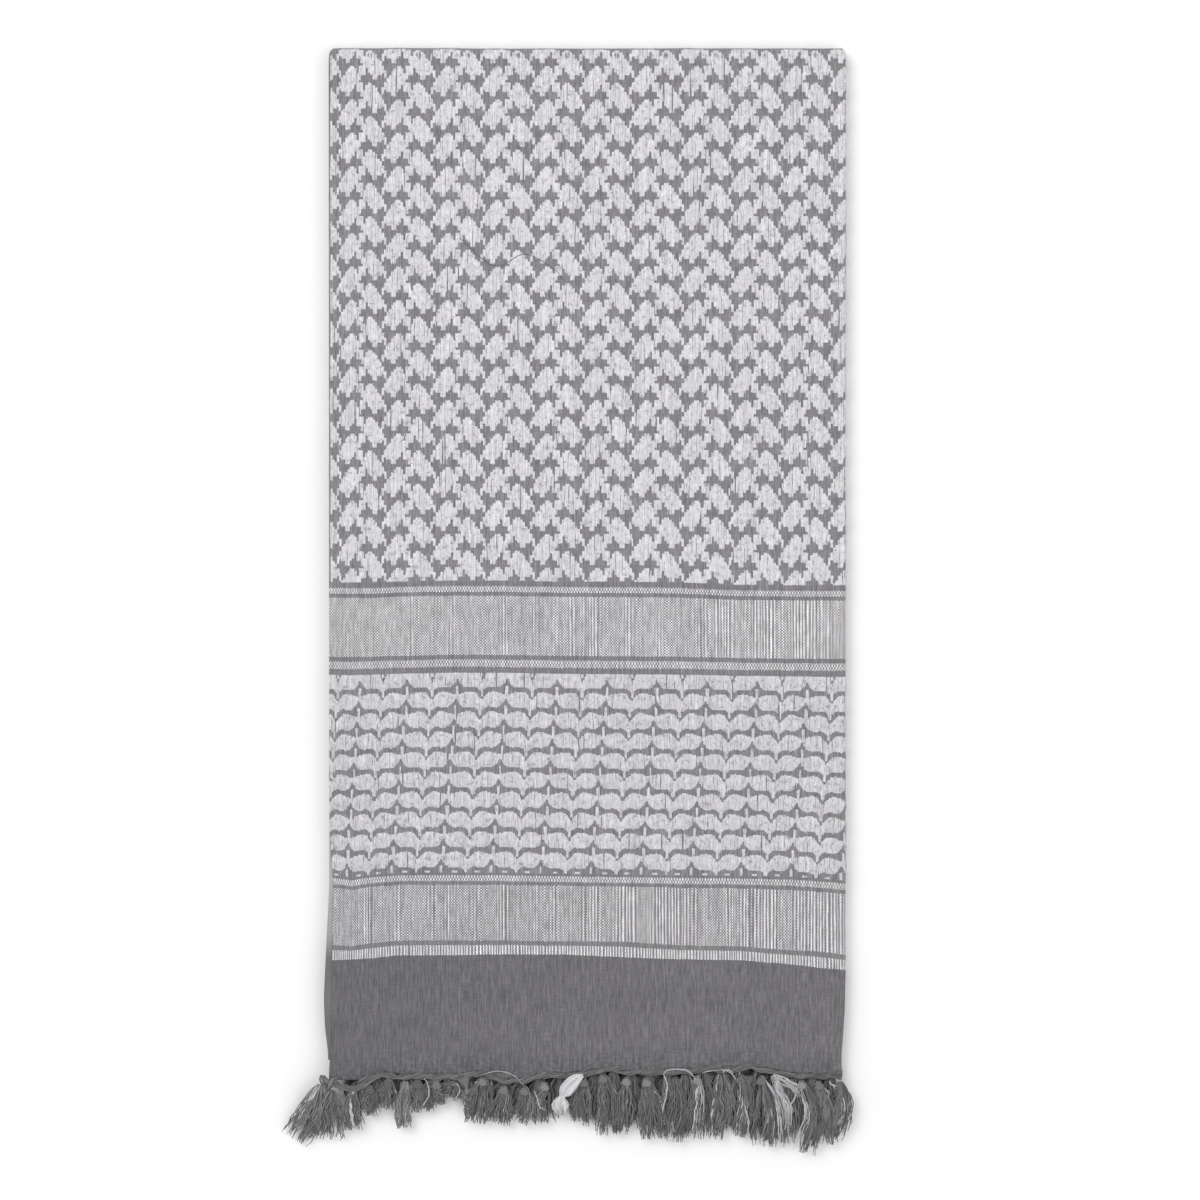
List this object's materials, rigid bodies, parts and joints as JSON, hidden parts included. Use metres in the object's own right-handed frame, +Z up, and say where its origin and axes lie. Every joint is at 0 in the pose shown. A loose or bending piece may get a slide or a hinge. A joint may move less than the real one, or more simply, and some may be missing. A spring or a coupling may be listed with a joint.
{
  "type": "folded cotton keffiyeh headscarf",
  "caption": "Square woven keffiyeh scarf with fringed ends, folded flat into a long rectangular stack with its fold at the top and its tassels at the bottom.",
  "frame": {"origin": "middle of the bounding box's underside, on the surface the folded scarf lies on", "axes": "+X to the side of the outer layer's fold, +Y along the panel towards the top fold, +Z up from the surface"},
  "size_m": [0.2894, 0.567, 0.0113],
  "materials": {
    "ground_cloth": "matte woven grey cotton ground",
    "white_yarn": "matte off-white cotton pattern yarn, loosely floated",
    "grey_yarn": "matte dark grey cotton yarn, soft and twisted"
  },
  "bodies": {
    "root": {"outer_cloth": "ground_cloth", "inner_layers": "ground_cloth", "front_hem_cord": "grey_yarn", "back_hem_cord": "grey_yarn", "under_fringe": "grey_yarn", "corner_knot": "grey_yarn", "tassel_01": "grey_yarn", "tassel_02": "grey_yarn", "tassel_03": "grey_yarn", "tassel_04": "grey_yarn", "tassel_05": "grey_yarn", "tassel_06": "grey_yarn", "tassel_07": "grey_yarn", "tassel_08": "grey_yarn", "tassel_09": "grey_yarn", "tassel_10": "grey_yarn", "tassel_11": "grey_yarn", "tassel_12": "grey_yarn", "tassel_13": "grey_yarn", "tassel_14": "white_yarn", "tassel_15": "grey_yarn", "tassel_16": "grey_yarn", "tassel_17": "grey_yarn", "tassel_18": "grey_yarn", "tassel_19": "grey_yarn", "tassel_20": "grey_yarn", "tassel_21": "grey_yarn", "tassel_22": "grey_yarn", "tassel_23": "grey_yarn", "tassel_24": "grey_yarn", "tassel_25": "grey_yarn", "tassel_26": "grey_yarn", "tassel_27": "grey_yarn"}
  },
  "joints": []
}
